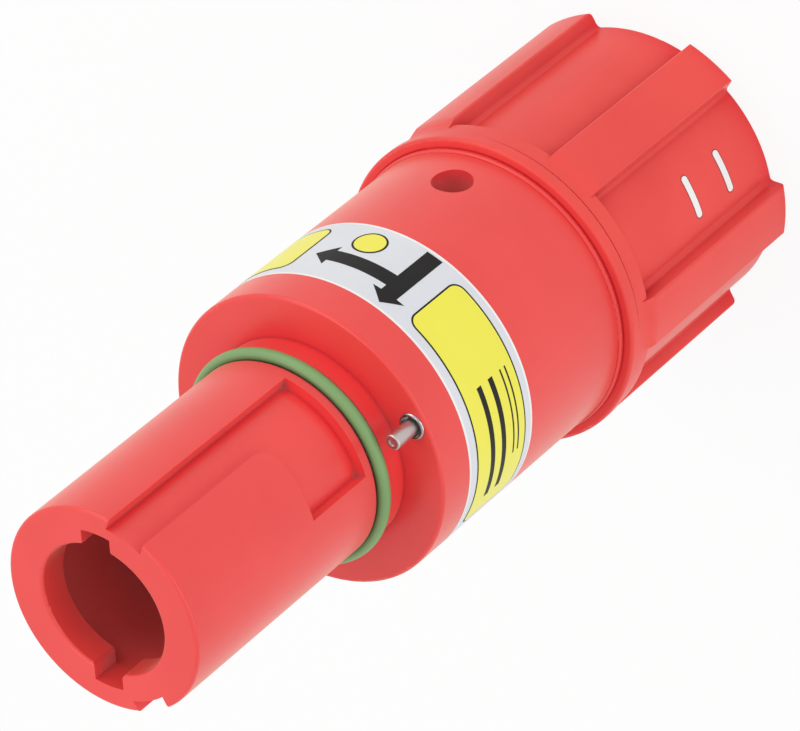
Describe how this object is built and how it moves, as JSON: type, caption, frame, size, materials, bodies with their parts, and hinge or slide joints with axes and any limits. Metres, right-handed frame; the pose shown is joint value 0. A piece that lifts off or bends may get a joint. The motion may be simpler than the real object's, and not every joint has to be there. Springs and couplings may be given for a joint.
{
  "type": "single-pole cam lock power connector",
  "caption": "Round red cable connector with a keyed bayonet nose, green sealing ring, sprung locking pin, wrapped label and ribbed gland sleeve.",
  "frame": {"origin": "centre of the rear face, on the mating axis", "axes": "+Z along the mating axis, from the cable end to the nose; +X through the side hole and one keyway"},
  "size_m": [0.0627, 0.0636, 0.168],
  "materials": {
    "red_moulding": "fine moulded satin",
    "green_rubber": "smooth matt",
    "black_rubber": "matt",
    "steel": "turned, bright",
    "plated_contact": "silver plated, turned",
    "spring_band": "stamped, bright",
    "dark_plastic": "moulded matt",
    "label_film": "printed film, satin"
  },
  "bodies": {
    "connector": {"body_shell": "red_moulding", "nose_insert": "red_moulding", "nose_seal": "green_rubber", "label_band": "label_film", "pin_bush": "steel", "pin_spring": "steel", "contact_socket": "plated_contact", "contact_band": "spring_band", "contact_guard": "dark_plastic", "contact_seal": "black_rubber", "contact_circlip": "steel", "terminal_screws": "steel", "insert_seal": "black_rubber", "gland_sleeve": "red_moulding", "sleeve_seal": "black_rubber", "thrust_washer": "dark_plastic", "cable_seal": "black_rubber", "clamp_cage": "dark_plastic"},
    "pin": {"locking_pin": "steel"}
  },
  "joints": [
    {"name": "pin_slide", "type": "slide", "parent": "connector", "child": "pin", "axis": [0, 0, -1], "range_m": [0, 0.0055], "stiffness_N_per_m": 500, "springref_m": -0.006, "deforming": ["pin_spring"]}
  ]
}
